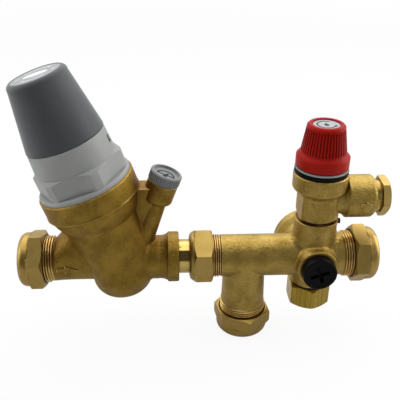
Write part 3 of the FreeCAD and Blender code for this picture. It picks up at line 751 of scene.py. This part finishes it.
def flow_arrow(name, node, material, places, halves, level, height):
    """Raised arrow along X on the front of a forging, laid on its surface with sloping sides. The places
    are the start of the shaft, the shoulder and the tip."""
    mesh = nodes[node].data
    surface = BVHTree.FromPolygons([v.co for v in mesh.vertices], [p.vertices for p in mesh.polygons])
    start, shoulder, tip = places
    shaft_half, head_half = halves
    stations = []
    for i in range(ARROW_SHAFT_STEPS + 1):
        stations.append((start + (shoulder - start) * i / ARROW_SHAFT_STEPS, shaft_half))
    for i in range(ARROW_HEAD_STEPS + 1):
        half = head_half * (1 - i / ARROW_HEAD_STEPS) + ARROW_TIP_HALF
        stations.append((shoulder + (tip - shoulder) * i / ARROW_HEAD_STEPS, half))
    points = []
    for x, half in stations:
        for width, side in ((ARROW_TOP_SHARE * half, height), (half, ARROW_SINK)):
            for k in range(ARROW_COLUMNS + 1):
                z = level + width * (2 * k / ARROW_COLUMNS - 1)
                hit = surface.ray_cast(Vector((x, RAY_START_Y, z)) * MM, Y)
                points.append(hit[0] + hit[1] * side * MM)
    foot = ARROW_COLUMNS + 1
    row = 2 * foot
    faces = []
    for i in range(len(stations) - 1):
        a = i * row
        b = (i + 1) * row
        for k in range(ARROW_COLUMNS):
            faces.append((a + k, b + k, b + k + 1, a + k + 1))
        faces.append((a, a + foot, b + foot, b))
        faces.append((a + foot - 1, b + foot - 1, b + row - 1, a + row - 1))
    for k in range(ARROW_COLUMNS):
        faces.append((k, k + 1, k + foot + 1, k + foot))
    piece(name, mesh_of(name, points, faces), "valve_body", material)


flow_arrow("inlet_arrow", "prv_body", OWN_MATERIALS["prv_body"], places=(22.9, 27.8, 35.6),
           halves=(1.3, 4.0), level=0.4, height=0.6)
flow_arrow("relief_arrow", "erv_body", MATERIALS["forged_brass"], places=(200.6, 203.8, 207.4),
           halves=(1.0, 2.4), level=40.6, height=0.4)


# Studio, with lamps placed from the object's middle and powers in watts

FLOOR_GAP = 0.3 * MM
FLOOR_SIZE = 8.0
FLOOR_TONES = (neutral(0.86), neutral(0.88))
FLOOR_MOTTLE_SCALE = 3.0
FLOOR_ROUGHNESS = 0.9
FLOOR_GLOW = 0.92
FLOOR_FADE = (0.4, 1.6)
MIRRORED_GLOW = 0.5
MIRRORED_LEVEL = 0.3

ROOM_BACK = neutral(0.16)
ROOM_FRONT = neutral(0.08)
ROOM_SPAN = (0.10, -0.60)
BACKDROP_SPAN = (0.30, 0.70)

LAMPS = {
    "top_box": {"offset": (0.0, 0.26, 0.757), "width": 1.6, "height": 1.3, "power": 11.4},
    "left_box": {"offset": (-0.75, 0.05, 0.25), "width": 0.5, "height": 0.6, "power": 2.2},
    "right_box": {"offset": (0.75, 0.10, 0.25), "width": 0.5, "height": 0.6, "power": 3.8},
    "front_box": {"offset": (0.38, -0.72, 0.38), "width": 0.45, "height": 0.45, "power": 0.45},
}


def floor_material():
    """Pale floor, white to the camera and dimmer in reflections. It keeps the shadow near the object."""
    material, shader, surface = new_material("studio_floor")
    place = shader.place()
    mottle = shader.noise(place, FLOOR_MOTTLE_SCALE, detail=2.0)
    shader.put(surface.inputs["Base Color"], shader.mix(mottle, *FLOOR_TONES))
    surface.inputs["Roughness"].default_value = FLOOR_ROUGHNESS
    seen, mirrored = shader.rays()
    away = shader.vector("LENGTH", place)["Value"]
    white = shader.product(seen, shader.ramp(away, *FLOOR_FADE, start=FLOOR_GLOW))
    share = shader.math("MAXIMUM", white, shader.product(mirrored, MIRRORED_GLOW))
    strength = shader.math("MAXIMUM", seen, MIRRORED_LEVEL)
    glow = shader.add("ShaderNodeEmission", {"Color": WHITE, "Strength": strength})
    blend = shader.add("ShaderNodeMixShader", {0: share, 1: surface.outputs[0], 2: glow.outputs[0]})
    shader.put(material.node_tree.nodes["Material Output"].inputs["Surface"], blend.outputs[0])
    return material


def floor():
    half = FLOOR_SIZE / 2
    z = LOWEST - FLOOR_GAP
    signs = ((-1, -1), (1, -1), (1, 1), (-1, 1))
    corners = [(MIDDLE.x + x * half, MIDDLE.y + y * half, z) for x, y in signs]
    mesh = mesh_of("studio_floor", corners, [(0, 1, 2, 3)])
    mesh.materials.append(floor_material())
    made = add_object("studio_floor", mesh)


def studio_world():
    """Dim room with a white backdrop, which the camera, reflections and refractions show."""
    world = bpy.data.worlds.new("studio")
    world.use_nodes = True
    bpy.context.scene.world = world
    shader = Shader(world.node_tree)
    background = world.node_tree.nodes["Background"]
    direction = shader.add("ShaderNodeTexCoord", {}).outputs["Generated"]
    depth = shader.add("ShaderNodeSeparateXYZ", {"Vector": direction}).outputs["Y"]
    seen, mirrored = shader.rays()
    behind = shader.ramp(depth, *BACKDROP_SPAN)
    white = shader.math("MAXIMUM", seen, shader.product(mirrored, behind))
    room = shader.mix(shader.ramp(depth, *ROOM_SPAN), ROOM_BACK, ROOM_FRONT)
    shader.put(background.inputs["Color"], shader.mix(white, room, WHITE))
    background.inputs["Strength"].default_value = 1.0


def softbox(name, offset, width, height, power):
    """Soft lamp, turned to the object's middle and unseen by the camera."""
    light = bpy.data.lights.new(name, "AREA")
    light.shape = "RECTANGLE"
    light.size = width
    light.size_y = height
    light.energy = power
    made = add_object(name, light)
    made.location = MIDDLE + Vector(offset)
    made.rotation_euler = (MIDDLE - made.location).to_track_quat("-Z", "Y").to_euler()
    made.visible_camera = False


# Camera at the photograph's place, worked out from the pipe sizes: turn, look-down and roll in radians

CAMERA_POS = Vector((91.18, -301.78, 198.70)) * MM
CAMERA_YAW = 0.05685
CAMERA_DOWN = 0.48607
CAMERA_ROLL = 0.01096
CAMERA_NEAR = 0.01
FOCAL_PIXELS = 581.05
FRAME_PIXELS = 400
SENSOR = 36.0


def camera():
    lens = bpy.data.cameras.new("camera")
    lens.sensor_fit = "HORIZONTAL"
    lens.sensor_width = SENSOR
    lens.lens = SENSOR * FOCAL_PIXELS / FRAME_PIXELS
    lens.clip_start = CAMERA_NEAR
    made = add_object("camera", lens)
    turn = Matrix.Rotation(-CAMERA_YAW, 4, "Z")
    tilt = Matrix.Rotation(math.pi / 2 - CAMERA_DOWN, 4, "X")
    roll = Matrix.Rotation(CAMERA_ROLL, 4, "Z")
    made.matrix_world = Matrix.Translation(CAMERA_POS) @ turn @ tilt @ roll
    bpy.context.scene.camera = made


floor()
studio_world()
for lamp, values in LAMPS.items():
    softbox(lamp, **values)
camera()
bpy.context.scene.view_settings.view_transform = "Standard"
